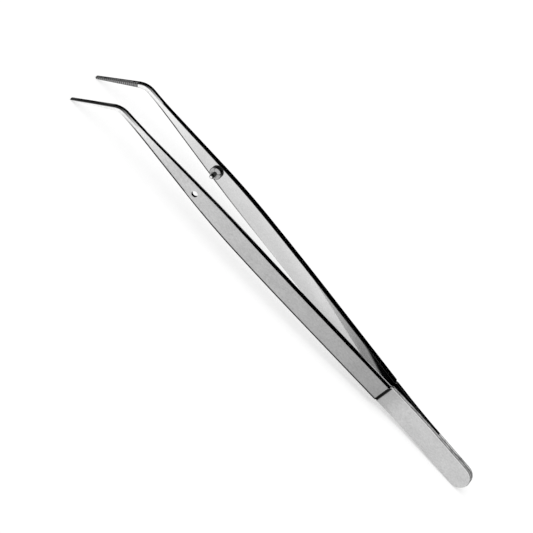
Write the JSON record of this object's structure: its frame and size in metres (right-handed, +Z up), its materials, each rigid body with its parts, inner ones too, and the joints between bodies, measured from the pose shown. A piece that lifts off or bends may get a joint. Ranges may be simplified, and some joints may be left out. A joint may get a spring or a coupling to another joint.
{
  "type": "dental college pliers",
  "caption": "Angled steel college pliers: spring blades welded at the tail, bent serrated beaks, and a guide pin that enters a hole as the beaks close.",
  "frame": {"origin": "on the surface that the pliers rest on, under the middle of their length and between the blades", "axes": "+X towards the welded tail, +Y from the blade with the hole to the blade with the pin, +Z up from the resting surface"},
  "size_m": [0.1554, 0.018, 0.0115],
  "materials": {
    "near_blade_steel": "polished with a fine satin grain",
    "far_blade_steel": "polished with a fine satin grain",
    "guide_pin_steel": "turned and polished"
  },
  "bodies": {
    "far_side": {"far_blade": "far_blade_steel", "guide_pin": "guide_pin_steel"},
    "near_side": {"near_blade": "near_blade_steel"}
  },
  "joints": [
    {"name": "blade_flex", "type": "hinge", "parent": "far_side", "child": "near_side", "pos_m": [0.0521, 0, 0.00479], "axis": [-0.0496, 0, -0.9988], "range_deg": [0, 6.5], "stiffness_Nm_per_rad": 2.8}
  ]
}
